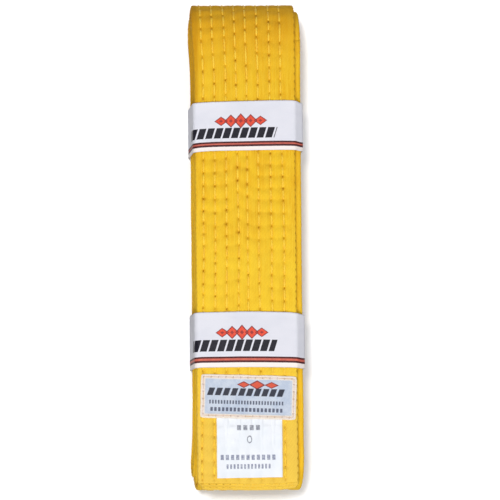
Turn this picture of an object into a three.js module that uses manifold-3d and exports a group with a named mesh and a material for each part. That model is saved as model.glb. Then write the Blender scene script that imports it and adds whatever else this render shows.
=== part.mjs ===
// A cotton martial arts belt, wound as a flat bundle and held by two paper bands.
// Millimetres. X is the belt's width, Y the bundle's length, Z its thickness.
// The bundle lies on its back: z = 0 is the underside of the bands, the patch faces +Z.
// "Upper" and "lower" are towards +Y and -Y, "front" and "back" towards +Z and -Z.
import * as THREE from "three";
import { mergeVertices } from "three/addons/utils/BufferGeometryUtils.js";
import Module from "manifold-3d";

const wasm = await Module();
wasm.setup();

// ---- driving dimensions ----------------------------------------------------
const BELT_W = 38;
const BELT_X = -1.1; // centre of the outer run, so that the bands are centred on x = 0
const STRAP_T = 1.7; // thickness of cover and core together
const HALF_T = STRAP_T / 2;
const COVER_T = 0.4; // one face of the cover
const COVER_EDGE = 0.7; // cover's wall at each long edge
const CORE_W = 36.2;
const CORE_T = 0.6;

// the winding
const PITCH = 2.25; // layer to layer
const LOOPS = 6; // two layers each
const MIDDLE_Z = 14.4;
const UPPER_FOLD_Y = 76.25; // centre of the upper folds
const LOWER_FOLD_Y = -77.38; // centre of the lower folds
const FOLD_STEPS = 6; // flats in each half turn
const INNER_END_Y = -58;
// sideways place of each straight run, from the outer one inwards: front, back, front ...
const RUN_X = [0, 0.9, 2.2, 1.3, 0.4, -0.3, 0.2, 0.5, -0.2, 0.1, 0, 0.2];

// the free end, level with the outer run
const HINGE_Y = -45.2; // where the free end meets the winding
const HALF_GAP = 0.15; // half of the opening left at a hinge
const FREE_END_Y = -89.5;
const OUTER_RUN_Z = MIDDLE_Z + (LOOPS - 0.5) * PITCH; // mid-thickness
const TOP_Z = OUTER_RUN_Z + HALF_T; // face of the outer run

// lengthwise stitching
const ROWS = 8;
const ROW_FIRST = -15.6; // from the belt's centre
const ROW_PITCH = 4.2;
const THREAD_W = 0.7;
const THREAD_LOW = 0.05; // off the cover
const THREAD_HIGH = 0.23;
// each row's threads, as offsets from mid-thickness: needle outside, bobbin inside
const THREAD_LAYERS = {
  needle: [HALF_T + THREAD_LOW, HALF_T + THREAD_HIGH],
  bobbin: [-HALF_T - THREAD_HIGH, -HALF_T - THREAD_LOW],
};

// ---- materials -------------------------------------------------------------
const material = ({ color, roughness }) =>
  new THREE.MeshStandardMaterial({ color, roughness });
const cotton = () => material({ color: 0xecbc2c, roughness: 0.9 });
const padding = () => material({ color: 0xe9dfc4, roughness: 0.95 });
const thread = () => material({ color: 0xf7cb48, roughness: 0.75 });
const woven = () => material({ color: 0xced8e9, roughness: 0.7 });
const patchThread = () => material({ color: 0xeecfc6, roughness: 0.7 });
const satin = () => material({ color: 0xf3f8fc, roughness: 0.35 });
const paper = () => material({ color: 0xe6e6f1, roughness: 0.3 });
const glue = () => material({ color: 0xe8dcae, roughness: 0.5 });

// ---- helpers ---------------------------------------------------------------
const { lerp } = THREE.MathUtils;

// Ranges are [low, high] pairs along one axis.
const around = (centre, size) => [centre - size / 2, centre + size / 2];
const shift = ([low, high], by) => [low + by, high + by];
const inset = ([low, high], by) => [low + by, high - by];

const box = ([x0, x1], [y0, y1], [z0, z1]) =>
  new THREE.BoxGeometry(x1 - x0, y1 - y0, z1 - z0).translate(
    (x0 + x1) / 2,
    (y0 + y1) / 2,
    (z0 + z1) / 2,
  );

const extrude = (shape, depth) =>
  new THREE.ExtrudeGeometry(shape, { depth, bevelEnabled: false });

const solidOf = (geometry) => {
  // without normals and uvs, the corners of neighbouring faces can merge
  geometry.deleteAttribute("normal");
  geometry.deleteAttribute("uv");
  const merged = mergeVertices(geometry, 1e-4);
  return new wasm.Manifold(
    new wasm.Mesh({
      numProp: 3,
      vertProperties: merged.attributes.position.array,
      triVerts: new Uint32Array(merged.index.array),
    }),
  );
};

const subtract = (body, cavity) => {
  const mesh = solidOf(body).subtract(solidOf(cavity)).getMesh();
  const { numProp, numVert, vertProperties, triVerts } = mesh;
  const positions = new Float32Array(numVert * 3);
  for (let i = 0; i < numVert; i++) {
    positions.set(vertProperties.subarray(i * numProp, i * numProp + 3), i * 3);
  }
  const geometry = new THREE.BufferGeometry()
    .setAttribute("position", new THREE.BufferAttribute(positions, 3))
    .setIndex(new THREE.BufferAttribute(triVerts, 1));
  geometry.computeVertexNormals();
  return geometry;
};

const group = new THREE.Group();
const add = (name, geometry, mat) => {
  const mesh = new THREE.Mesh(geometry, mat);
  mesh.name = name;
  group.add(mesh);
};

// ---- path of the winding, in the YZ plane ----------------------------------
// A half turn of stations. Each carries its point (y, z), its outward normal
// (ny, nz) and its sideways place x.
const foldStations = ({ centreY, centreZ, radius, startAngle, fromX, toX }) =>
  Array.from({ length: FOLD_STEPS + 1 }, (_, i) => {
    const angle = startAngle - (Math.PI * i) / FOLD_STEPS;
    const ny = Math.cos(angle);
    const nz = Math.sin(angle);
    return {
      y: centreY + radius * ny,
      z: centreZ + radius * nz,
      ny,
      nz,
      x: lerp(fromX, toX, i / FOLD_STEPS),
    };
  });

const INNER_RUN_Z = MIDDLE_Z - PITCH / 2;
const INNER_RUN_X = RUN_X[RUN_X.length - 1];

// From the hinge, up the front and down the back of each loop, to the inner end.
const windingPath = () => {
  const path = [
    { y: HINGE_Y + HALF_GAP, z: OUTER_RUN_Z, ny: 0, nz: 1, x: RUN_X[0] },
  ];
  for (let loop = 0; loop < LOOPS; loop++) {
    const [frontX, backX, nextFrontX] = RUN_X.slice(2 * loop, 2 * loop + 3);
    path.push(
      ...foldStations({
        centreY: UPPER_FOLD_Y,
        centreZ: MIDDLE_Z,
        radius: (LOOPS - 0.5 - loop) * PITCH,
        startAngle: Math.PI / 2,
        fromX: frontX,
        toX: backX,
      }),
    );
    if (loop === LOOPS - 1) break; // the last back run has no fold below it
    path.push(
      ...foldStations({
        centreY: LOWER_FOLD_Y,
        centreZ: MIDDLE_Z - PITCH / 2,
        radius: (LOOPS - 1 - loop) * PITCH,
        startAngle: -Math.PI / 2,
        fromX: backX,
        toX: nextFrontX,
      }),
    );
  }
  path.push({ y: INNER_END_Y, z: INNER_RUN_Z, ny: 0, nz: -1, x: INNER_RUN_X });
  return path;
};

// A ribbon along the path. layer is its range of offsets along the normal and across
// its range over the belt's width. The trims shorten the hinge end and the inner end;
// a negative trim lengthens.
const woundRibbon = ({ layer: [low, high], across: [x0, x1], trims }) => {
  const path = windingPath();
  path[0].y += trims[0];
  path[path.length - 1].y += trims[1];
  const side = (offset) =>
    path.map(({ y, z, ny, nz, x }) => ({
      y: y + offset * ny,
      z: z + offset * nz,
      x,
    }));
  const outline = [...side(high), ...side(low).reverse()];
  const shape = new THREE.Shape(
    outline.map(({ y, z }) => new THREE.Vector2(y, z)),
  );
  const geometry = extrude(shape, x1 - x0);

  // Turn the extrusion onto X, and move each vertex sideways with the outline
  // point it came from, which is the nearest one.
  const position = geometry.attributes.position;
  for (let i = 0; i < position.count; i++) {
    const y = position.getX(i);
    const z = position.getY(i);
    let nearest = outline[0];
    let least = Infinity;
    for (const point of outline) {
      const distance = (point.y - y) ** 2 + (point.z - z) ** 2;
      if (distance < least) {
        least = distance;
        nearest = point;
      }
    }
    position.setXYZ(i, BELT_X + x0 + position.getZ(i) + nearest.x, y, z);
  }
  return geometry;
};

// Calls build(name, row centre from the belt's centre, layer) for every thread.
const forEachThread = (build) => {
  for (let i = 0; i < ROWS; i++) {
    for (const [kind, layer] of Object.entries(THREAD_LAYERS)) {
      build((part) => `${kind}_thread_${part}_${i + 1}`, ROW_FIRST + ROW_PITCH * i, layer);
    }
  }
};

// ---- the wound belt --------------------------------------------------------
const addWoundBelt = () => {
  const width = around(0, BELT_W);
  const thickness = [-HALF_T, HALF_T];
  const body = woundRibbon({ layer: thickness, across: width, trims: [0, 0] });
  const cavity = woundRibbon({
    layer: inset(thickness, COVER_T),
    across: inset(width, COVER_EDGE),
    trims: [-1, -1], // cuts through both ends
  });
  add("belt_cover_wound", subtract(body, cavity), cotton());

  const core = woundRibbon({
    layer: around(0, CORE_T),
    across: around(0, CORE_W),
    trims: [0.5, 0.5],
  });
  add("belt_core_wound", core, padding());

  forEachThread((nameOf, rowX, layer) => {
    const across = around(rowX, THREAD_W);
    add(nameOf("wound"), woundRibbon({ layer, across, trims: [0.6, 3.2] }), thread());
  });
};

// closing seam across the inner end, on its outward face, which looks to -Z
const addInnerEndSeam = () => {
  const length = 34;
  const y = INNER_END_Y + 1.4;
  const [low, high] = THREAD_LAYERS.needle;
  const seam = box(
    around(BELT_X + INNER_RUN_X, length),
    [y, y + THREAD_W],
    [INNER_RUN_Z - high, INNER_RUN_Z - low],
  );
  add("inner_end_seam_thread", seam, thread());
};

// ---- the free end ----------------------------------------------------------
const addFreeEnd = () => {
  const coreIn = { free: 1.2, hinge: 0.3 }; // from the cover's ends
  const rowIn = { free: 3.0, hinge: 0.8 }; // from the free end and the hinge
  const seamSideIn = 1.5;
  const seamW = 0.6;
  const width = around(BELT_X, BELT_W);
  const thickness = [TOP_Z - STRAP_T, TOP_Z];
  const hingeEndY = HINGE_Y - HALF_GAP;

  const body = box(width, [FREE_END_Y, hingeEndY], thickness);
  const cavity = box(
    inset(width, COVER_EDGE),
    [FREE_END_Y + 0.8, hingeEndY + 1], // closed at the free end, open at the hinge
    inset(thickness, COVER_T),
  );
  add("belt_cover_end", subtract(body, cavity), cotton());

  const core = box(
    around(BELT_X, CORE_W),
    [FREE_END_Y + coreIn.free, hingeEndY - coreIn.hinge],
    around(OUTER_RUN_Z, CORE_T),
  );
  add("belt_core_end", core, padding());

  forEachThread((nameOf, rowX, layer) => {
    const row = box(
      around(BELT_X + rowX, THREAD_W),
      [FREE_END_Y + rowIn.free, HINGE_Y - rowIn.hinge],
      shift(layer, OUTER_RUN_Z),
    );
    add(nameOf("end"), row, thread());
  });

  // two seams across the belt, each given by its distance from the free end
  for (const [name, fromEnd] of [
    ["end_seam_thread_outer", 0.8],
    ["end_seam_thread_inner", 1.9],
  ]) {
    const y = FREE_END_Y + fromEnd;
    const seam = box(
      inset(width, seamSideIn),
      [y, y + seamW],
      shift(THREAD_LAYERS.needle, OUTER_RUN_Z),
    );
    add(name, seam, thread());
  }
};

// ---- woven patch and size tab ----------------------------------------------
const LABEL_LOW = 0.42; // undersides of patch and tab, off the cover
const PATCH = { width: 35.2, length: 16.2, x: 0.4, y: -55.5, high: 0.75 };
// inset is to the stitching's centre line, lift is off the patch
const PATCH_SEAM = { inset: 1.0, width: 0.5, thickness: 0.15, lift: 0.04 };
const TAB = { width: 24.4, x: 0.6, hingeY: -63.9, endY: -85.3, high: 0.67 };

const addPatch = () => {
  const xs = around(BELT_X + PATCH.x, PATCH.width);
  const ys = around(PATCH.y, PATCH.length);
  const zs = shift([LABEL_LOW, PATCH.high], TOP_Z);
  add("woven_patch", box(xs, ys, zs), woven());

  const rectangle = (by) => {
    const [x0, x1] = inset(xs, by);
    const [y0, y1] = inset(ys, by);
    return [[x0, y0], [x1, y0], [x1, y1], [x0, y1]].map(
      ([x, y]) => new THREE.Vector2(x, y),
    );
  };
  const [outerInset, innerInset] = around(PATCH_SEAM.inset, PATCH_SEAM.width);
  const frame = new THREE.Shape(rectangle(outerInset));
  frame.holes.push(new THREE.Path(rectangle(innerInset).reverse()));
  const stitching = extrude(frame, PATCH_SEAM.thickness);
  stitching.translate(0, 0, TOP_Z + PATCH.high + PATCH_SEAM.lift);
  add("patch_stitching", stitching, patchThread());
};

// lies just below the patch
const addSizeTab = () => {
  const tab = box(
    around(BELT_X + TAB.x, TAB.width),
    [TAB.endY, TAB.hingeY - HALF_GAP],
    shift([LABEL_LOW, TAB.high], TOP_Z),
  );
  add("size_tab", tab, satin());
};

// ---- paper bands -----------------------------------------------------------
const BAND_T = 0.25;
const BAND_HALF_X = 20.85; // outer half width
const BAND_CORNER = 1.6; // radius at mid-thickness
const CORNER_STEPS = 3;
const LAP_LEVEL = 0.5; // underside of the inner lap
// x of the inner lap's end, of the foot and head of its slope, and of the outer lap's end
const LAP_X = { innerEnd: 6, slopeTop: -8.4, slopeFoot: -10, outerEnd: -7.6 };
const GLUE_T = 0.15;
const GLUE_X = [-6.5, 5];
const GLUE_IN = 1.5; // from the band's edges
// range along Y, and rise of the band's underside over the outer run
const BANDS = {
  upper: { ys: [36.4, 55.0], rise: 0.55 },
  lower: { ys: [-44.3, -23.7], rise: 1.15 },
};

// The path moved sideways by a distance, to its left if positive, with mitred corners.
const offsetPath = (path, distance) => {
  const normal = (a, b) => new THREE.Vector2(a.y - b.y, b.x - a.x).normalize();
  const last = path.length - 1;
  return path.map((point, i) => {
    const before = normal(path[Math.max(i, 1) - 1], path[Math.max(i, 1)]);
    const after = i < last ? normal(point, path[i + 1]) : before;
    const mitre = before.clone().add(after);
    return point
      .clone()
      .addScaledVector(mitre, (2 * distance) / mitre.lengthSq());
  });
};

// A strip of paper round the bundle in the XZ plane, lapped at the back.
const bandGeometry = ({ ys: [y0, y1], rise }) => {
  const half = BAND_T / 2;
  const bottom = half;
  const top = TOP_Z + rise + half;
  const cornerX = BAND_HALF_X - half - BAND_CORNER;
  const lowCornerZ = bottom + BAND_CORNER;
  const highCornerZ = top - BAND_CORNER;
  const quarter = Math.PI / 2;
  const corner = (x, z, from) =>
    Array.from({ length: CORNER_STEPS + 1 }, (_, i) => {
      const angle = lerp(from, from - quarter, i / CORNER_STEPS);
      return [x + BAND_CORNER * Math.cos(angle), z + BAND_CORNER * Math.sin(angle)];
    });
  const path = [
    [LAP_X.innerEnd, LAP_LEVEL + half],
    [LAP_X.slopeTop, LAP_LEVEL + half],
    [LAP_X.slopeFoot, bottom],
    ...corner(-cornerX, lowCornerZ, -quarter),
    ...corner(-cornerX, highCornerZ, 2 * quarter),
    ...corner(cornerX, highCornerZ, quarter),
    ...corner(cornerX, lowCornerZ, 0),
    [LAP_X.outerEnd, bottom],
  ].map(([x, z]) => new THREE.Vector2(x, z));
  const outline = [...offsetPath(path, half), ...offsetPath(path, -half).reverse()];
  return extrude(new THREE.Shape(outline), y1 - y0)
    .rotateX(Math.PI / 2)
    .translate(0, y1, 0);
};

const addBand = (name, band) => {
  add(`${name}_band_paper`, bandGeometry(band), paper());
  // midway between the laps
  const glueZ = around((BAND_T + LAP_LEVEL) / 2, GLUE_T);
  add(`${name}_band_glue`, box(GLUE_X, inset(band.ys, GLUE_IN), glueZ), glue());
};

addWoundBelt();
addInnerEndSeam();
addFreeEnd();
addPatch();
addSizeTab();
for (const [name, band] of Object.entries(BANDS)) addBand(name, band);

export default group;
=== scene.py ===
import math

import bpy
import numpy as np
from mathutils import Matrix, Vector


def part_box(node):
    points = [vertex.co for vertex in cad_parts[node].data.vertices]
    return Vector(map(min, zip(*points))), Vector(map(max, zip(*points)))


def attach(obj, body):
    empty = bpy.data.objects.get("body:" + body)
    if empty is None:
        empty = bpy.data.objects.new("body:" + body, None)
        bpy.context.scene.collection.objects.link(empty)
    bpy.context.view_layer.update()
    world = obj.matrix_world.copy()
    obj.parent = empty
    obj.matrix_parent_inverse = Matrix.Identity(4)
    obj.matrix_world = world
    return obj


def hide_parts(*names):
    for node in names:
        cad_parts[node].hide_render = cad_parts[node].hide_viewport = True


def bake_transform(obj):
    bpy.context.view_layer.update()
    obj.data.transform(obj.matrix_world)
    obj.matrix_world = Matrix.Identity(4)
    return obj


# A cotton martial arts belt, wound as a flat bundle and held by two paper bands.
# Shapes are worked out in millimetres and stored in metres. X runs across the belt,
# Y along the bundle, Z up; the bundle lies on the backs of its bands. "Front" is the
# side facing +Z, "left" is -X, and the upper fold is at +Y.
#
# Most shapes are laid out in the belt's own coordinates: along (mm from the free end,
# following the winding), across (mm from the belt's middle) and out (mm from its mid plane).

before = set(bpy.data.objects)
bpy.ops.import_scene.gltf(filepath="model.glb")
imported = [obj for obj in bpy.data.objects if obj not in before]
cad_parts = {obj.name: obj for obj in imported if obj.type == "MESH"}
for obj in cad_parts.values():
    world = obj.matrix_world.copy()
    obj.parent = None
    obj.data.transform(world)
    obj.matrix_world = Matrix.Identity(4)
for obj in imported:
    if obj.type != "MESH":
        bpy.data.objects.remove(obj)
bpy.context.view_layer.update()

MM = 0.001
end_low, end_high = (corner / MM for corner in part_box("belt_cover_end"))
wound_low, wound_high = (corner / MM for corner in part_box("belt_cover_wound"))

# ---- belt sizes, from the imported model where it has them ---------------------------
BELT_X = (end_high.x + end_low.x) / 2
HALF_W = (end_high.x - end_low.x) / 2
HALF_T = (end_high.z - end_low.z) / 2
TOP_Z = end_high.z
OUTER_END_Y = end_low.y
EDGE_R = 0.95  # width of the belt's rounded edge
PITCH = 2.25  # from one layer to the next
LOOPS = 6
AXIS_Z = TOP_Z - HALF_T - (LOOPS - 0.5) * PITCH
TOP_FOLD_Y = wound_high.y - (LOOPS - 0.5) * PITCH - HALF_T
LOW_FOLD_Y = wound_low.y + (LOOPS - 1) * PITCH + HALF_T
INNER_END_Y = -58.0
FOLD_STANDOFF = 2.7  # how far the upper folds stand out
# sideways place of each run: front 1, back 1, front 2, back 2 and so on
RUN_X = [0, 0.9, 2.2, 1.3, 0.4, -0.3, 0.2, 0.5, -0.2, 0.1, 0, 0.2]

# ---- patch and size tab --------------------------------------------------------------
PATCH_X = BELT_X + 0.35
PATCH_LOW_Y, PATCH_HIGH_Y = -63.55, -47.2
PATCH_Y = (PATCH_LOW_Y + PATCH_HIGH_Y) / 2
PATCH_HALF_W = 17.8
PATCH_HALF_H = (PATCH_HIGH_Y - PATCH_LOW_Y) / 2
PATCH_TURN = math.radians(-1.9)
PATCH_HEM = 1.0  # from the patch's edge to its stitching
TAB_X = BELT_X + 0.6
TAB_HALF_W = 12.2
TAB_LOW_Y, TAB_HIGH_Y = -85.3, -62.9

# ---- small numeric helpers -----------------------------------------------------------


def smooth(x, low=0.0, high=1.0):
    part = np.clip((np.asarray(x, float) - low) / (high - low), 0, 1)
    return part * part * (3 - 2 * part)


def hump(x, low, high, soft):
    return smooth(x, low - soft, low + soft) * (1 - smooth(x, high - soft, high + soft))


def peak(x, width):
    """A bell curve, one at x = 0."""
    return np.exp(-((x / width) ** 2))


def spaced(start, end, size):
    """Even stations from start to end, about size apart."""
    return np.linspace(start, end, max(2, int(round((end - start) / size))) + 1)


def noise2(x, y, size_x, size_y, seed):
    """Smooth value noise in -1..1 with cells of size_x by size_y."""
    x, y = np.broadcast_arrays(np.asarray(x, float) / size_x, np.asarray(y, float) / size_y)
    i, j = np.floor(x).astype(np.int64), np.floor(y).astype(np.int64)
    part_x, part_y = smooth(x - i), smooth(y - j)

    def corner(i, j):
        mixed = (i * 374761393 + j * 668265263 + seed * 2246822519) & 0xFFFFFFFF
        mixed = ((mixed ^ (mixed >> 13)) * 1274126177) & 0xFFFFFFFF
        mixed = ((mixed ^ (mixed >> 16)) * 2654435761) & 0xFFFFFFFF
        return ((mixed >> 8) & 0xFFFF) / 32767.5 - 1

    low = corner(i, j) * (1 - part_x) + corner(i + 1, j) * part_x
    high = corner(i, j + 1) * (1 - part_x) + corner(i + 1, j + 1) * part_x
    return low * (1 - part_y) + high * part_y


def noise1(x, size, seed, lane=0.0):
    """Noise along a line; each lane has its own."""
    return noise2(x, lane, size, 1.0, seed)


# ---- mesh building -------------------------------------------------------------------


def make_mesh(name, points, faces, uvs, values=None):
    """points in mm; faces is a list of index arrays, one per face size; uvs matches faces,
    in mm; values is {attribute: a number per point}."""
    mesh = bpy.data.meshes.new(name)
    loops = np.concatenate([block.ravel() for block in faces]).astype(np.int32)
    sizes = np.concatenate([np.full(len(block), block.shape[1]) for block in faces])
    starts = np.concatenate([[0], np.cumsum(sizes)[:-1]]).astype(np.int32)
    mesh.vertices.add(len(points))
    mesh.vertices.foreach_set("co", (points * MM).astype(np.float32).ravel())
    mesh.loops.add(len(loops))
    mesh.loops.foreach_set("vertex_index", loops)
    mesh.polygons.add(len(sizes))
    mesh.polygons.foreach_set("loop_start", starts)
    mesh.update(calc_edges=True)
    flat = np.concatenate([block.reshape(-1, 2) for block in uvs]).astype(np.float32)
    mesh.uv_layers.new(name="cloth").data.foreach_set("uv", flat.ravel())
    for key, value in (values or {}).items():
        attribute = mesh.attributes.new(key, "FLOAT", "POINT")
        attribute.data.foreach_set("value", np.asarray(value, np.float32).ravel())
    mesh.polygons.foreach_set("use_smooth", np.full(len(sizes), True))
    mesh.update()
    obj = bpy.data.objects.new(name, mesh)
    bpy.context.scene.collection.objects.link(obj)
    return obj


def loft(name, rings, girth, length, values=None):
    """A closed, capped skin through rings (M x N x 3), each a closed loop. girth, M x (N+1)
    or N+1, and length, M, are the mm round the loop and along the loft."""
    stations, count = rings.shape[:2]
    girth = np.broadcast_to(girth, (stations, count + 1))
    station = np.arange(stations - 1)[:, None]
    point = np.arange(count)[None, :]
    quads, quad_uvs = [], []
    for i, j in ((0, 0), (0, 1), (1, 1), (1, 0)):
        quads.append((station + i) * count + (point + j) % count)
        at_length = length[station + i] + 0.0 * point
        quad_uvs.append(np.stack([girth[station + i, point + j], at_length], -1))
    quads = np.stack(quads, -1).reshape(-1, 4)
    quad_uvs = np.stack(quad_uvs, 2).reshape(-1, 4, 2)
    # the quads face out if the middle ring turns left as seen from behind the loft
    centers = rings.mean(1)
    middle = stations // 2
    spokes = rings[middle] - centers[middle]
    turn = np.cross(spokes, np.roll(spokes, -1, 0)).sum(0)
    after = min(middle + 1, stations - 1)
    flipped = turn @ (centers[after] - centers[after - 1]) < 0
    if flipped:
        quads = quads[:, ::-1]
        quad_uvs = quad_uvs[:, ::-1]
    faces, uvs = [quads], [quad_uvs]
    order = np.arange(count) if flipped else np.arange(count)[::-1]
    for at, cap in ((0, order), (stations - 1, order[::-1])):
        faces.append((at * count + cap)[None])
        uvs.append(np.stack([girth[at, cap], np.full(count, length[at])], -1)[None])
    return make_mesh(name, rings.reshape(-1, 3), faces, uvs, values)


def sheet(name, top, bottom, u_grid, v_grid, values=None):
    """A closed thin solid from two M x N grids of points, joined round their rims.
    u_grid and v_grid are M x N, in mm."""
    rows, columns = top.shape[:2]
    count = rows * columns
    start = np.arange(rows - 1)[:, None] * columns + np.arange(columns - 1)[None, :]
    over = np.stack([start, start + 1, start + columns + 1, start + columns], -1).reshape(-1, 4)
    rim = np.concatenate([
        np.arange(columns - 1),
        np.arange(rows - 1) * columns + columns - 1,
        (rows - 1) * columns + np.arange(columns - 1, 0, -1),
        np.arange(rows - 1, 0, -1) * columns,
    ])
    ahead = np.roll(rim, -1)
    side = np.stack([ahead, rim, rim + count, ahead + count], -1)
    under = (over + count)[:, ::-1]
    normal = np.cross(top[0, 1] - top[0, 0], top[1, 0] - top[0, 0])
    if normal @ (top[0, 0] - bottom[0, 0]) <= 0:
        over, under, side = over[:, ::-1], under[:, ::-1], side[:, ::-1]
    uv_points = np.tile(np.stack([u_grid, v_grid], -1).reshape(-1, 2), (2, 1))
    faces = [over, under, side]
    # only the outer face is printed
    values = dict(values or {}, outside=np.repeat([1.0, 0.0], count))
    points = np.concatenate([top.reshape(-1, 3), bottom.reshape(-1, 3)])
    return make_mesh(name, points, faces, [uv_points[block] for block in faces], values)


# ---- the path of the winding, in the YZ plane ----------------------------------------


def winding():
    """Rows of (along, y, z, normal y, normal z, sideways x), and where each part starts."""
    rows, marks = [], {}
    travel = 0.0

    def line(start_y, end_y, z, normal_z, x):
        nonlocal travel
        length = abs(end_y - start_y)
        for f in np.linspace(0, 1, max(2, int(length)) + 1):
            y = start_y + f * (end_y - start_y)
            rows.append((travel + f * length, y, z, 0.0, normal_z, x))
        travel += length

    def half_turn(center_y, center_z, radius, start, start_x, end_x):
        nonlocal travel
        for f in np.linspace(0, 1, 61)[1:]:
            cos, sin = math.cos(start - math.pi * f), math.sin(start - math.pi * f)
            y, z = center_y + radius * cos, center_z + radius * sin
            x = start_x + (end_x - start_x) * f
            rows.append((travel + f * math.pi * radius, y, z, cos, sin, x))
        travel += math.pi * radius

    y = OUTER_END_Y
    for k in range(1, LOOPS + 1):
        radius = (LOOPS + 0.5 - k) * PITCH
        front_x, back_x = RUN_X[2 * k - 2], RUN_X[2 * k - 1]
        marks[f"front_{k}"] = travel
        line(y, TOP_FOLD_Y, AXIS_Z + radius, 1.0, front_x)
        marks[f"top_{k}"] = travel
        half_turn(TOP_FOLD_Y, AXIS_Z, radius, math.pi / 2, front_x, back_x)
        marks[f"back_{k}"] = travel
        y = LOW_FOLD_Y if k < LOOPS else INNER_END_Y
        line(TOP_FOLD_Y, y, AXIS_Z - radius, -1.0, back_x)
        if k < LOOPS:
            marks[f"low_{k}"] = travel
            low_radius = (LOOPS - k) * PITCH
            half_turn(y, AXIS_Z - PITCH / 2, low_radius, -math.pi / 2, back_x, RUN_X[2 * k])
    marks["end"] = travel
    return np.array(rows), marks


PATH, MARK = winding()
TOP_START, TOP_END = MARK["top_1"], MARK["back_1"]  # the outermost upper fold
LOW_START, LOW_END = MARK["low_1"], MARK["front_2"]  # the outermost lower fold
# the front piece ends on the back run, below the upper band
FRONT_END = TOP_END + (TOP_FOLD_Y - 45.0)
WRAP_END = MARK["top_2"]
BELT_END = MARK["end"]
END_LENGTH = 44.0  # about how much of the belt counts as its free end


def place(along, across, out):
    """Points in space, mm, for belt coordinates, which are broadcast."""
    along, across, out = np.broadcast_arrays(along, across, out)
    y, z, normal_y, normal_z, x = (np.interp(along, PATH[:, 0], PATH[:, k]) for k in range(1, 6))
    length = np.hypot(normal_y, normal_z)
    # the layers below the outer one wander a little from side to side
    x = x + smooth(along, 205.0, 260.0) * 0.08 * noise1(along, 63.0, 11)
    # beyond the free end the strip just goes on straight
    y = y + np.minimum(along, 0)
    # the folds are drawn to the left and are a little wider
    top = smooth(y, 62.0, 86.0)
    low = smooth(-y, 66.0, 84.0) * smooth(along, 60.0, 120.0)
    x = x - 0.55 * top - 0.35 * low
    across = across * (1 + 0.030 * top + 0.035 * low)
    y = y + out * normal_y / length
    # the upper folds are full and stand out
    y = y + FOLD_STANDOFF * smooth(y, 58.0, 88.0)
    return np.stack([BELT_X + x + across, y, z + out * normal_z / length], -1)


# ---- stitch rows -----------------------------------------------------------------------
ROWS = 8
# place of each row across the front run, at three distances from the free end
ROW_AT = {
    13.0: [-17.0, -12.5, -8.0, -3.4, 0.9, 5.2, 9.6, 13.9],
    89.5: [-15.8, -11.4, -7.2, -2.7, 0.6, 4.8, 9.5, 14.2],
    151.0: [-15.6, -11.5, -7.2, -3.3, 0.6, 4.8, 9.2, 13.3],
}
# and further along the winding
ROW_MEAN = [-15.6, -11.4, -7.2, -3.0, 1.2, 5.4, 9.6, 13.8]
# some of each row's needle holes, mm from the free end; gaps are filled in at the pitch
HOLES = [
    [67.3, 72.2, 76.2, 81.1, 85.5, 90.4, 94.8, 98.9, 103.4, 107.9, 112.7, 117.5, 122.4,
     145.4, 150.3, 155.1, 159.9, 165.2, 169.2],
    [71.7, 79.9, 84.0, 87.7, 92.6, 97.4, 102.6, 107.5, 112.7, 117.5, 122.3, 146.1, 151.0,
     155.8, 165.8, 169.5],
    [76.9, 82.1, 89.9, 94.0, 98.5, 103.7, 107.8, 113.0, 118.2, 123.0, 146.8, 152.1, 156.9,
     161.4, 166.4, 169.8],
    [68.3, 72.8, 77.6, 81.3, 85.8, 90.6, 95.5, 100.3, 105.1, 110.4, 114.8, 119.7, 145.3,
     150.5, 155.0, 162.8, 167.6, 172.1],
    [75.0, 93.2, 103.6, 108.8, 113.3, 118.9, 146.4, 152.0, 157.2, 164.3, 169.1, 173.8],
    [71.6, 76.4, 81.6, 86.9, 92.4, 97.3, 102.5, 107.3, 111.4, 116.2, 120.7, 145.3, 150.5,
     155.3, 161.3, 166.6, 170.3, 174.6],
    [74.5, 79.4, 83.8, 88.7, 93.1, 102.4, 107.3, 111.7, 116.2, 120.3, 151.9, 156.4, 164.9,
     168.4, 172.0],
    [74.5, 79.0, 83.8, 93.1, 97.6, 102.4, 107.2, 111.7, 116.2, 120.3, 147.0, 151.9, 164.5,
     171.6],
]
STITCH = 4.75
rng = np.random.default_rng(7)


def row_across(row, along):
    """Place of a row across the belt."""
    along = np.asarray(along, float)
    near = np.interp(along, list(ROW_AT), [places[row] for places in ROW_AT.values()])
    near = near + 0.10 * noise1(along, 11.0, 21, lane=row * 3.7)
    far = ROW_MEAN[row] + 0.35 * noise1(along, 47.0, 22, lane=row * 5.3)
    return near + (far - near) * smooth(along, 200.0, 232.0)


def knot_lines(along):
    """The left edge, the stitch rows and the right edge, as places across the belt."""
    edge = np.full(along.shape, HALF_W - EDGE_R)
    return np.stack([-edge, *(row_across(i, along) for i in range(ROWS)), edge])


def hole_places(row):
    places = [HOLES[row][0]]
    for known in HOLES[row][1:]:
        count = max(1, int(round((known - places[-1]) / STITCH)))
        step = (known - places[-1]) / count
        places += [places[-1] + step * (k + 1) for k in range(count)]
    while places[0] - STITCH > 4.0:
        places.insert(0, places[0] - STITCH * (1 + 0.03 * rng.standard_normal()))
    if places[0] > 4.6:
        places.insert(0, 3.4)
    while places[-1] < BELT_END - 4.0 - STITCH:
        places.append(places[-1] + STITCH * (1 + 0.03 * rng.standard_normal()))
    return np.array(places)


def hole_depths(row, places):
    depth = rng.uniform(0.40, 1.08, len(places))
    # drawn nearly shut over the upper fold, and smaller near the free end
    depth = depth * (1 - 0.62 * hump(places, 174.9, 215.0, 1.5)) * (1 - 0.15 * (places < 50))
    if 1 < row < 7:
        depth = depth * np.where(places < 9.0, 0.45, 1.0)
    return depth


holes = [hole_places(i) for i in range(ROWS)]
depths = [hole_depths(i, places) for i, places in enumerate(holes)]


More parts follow.
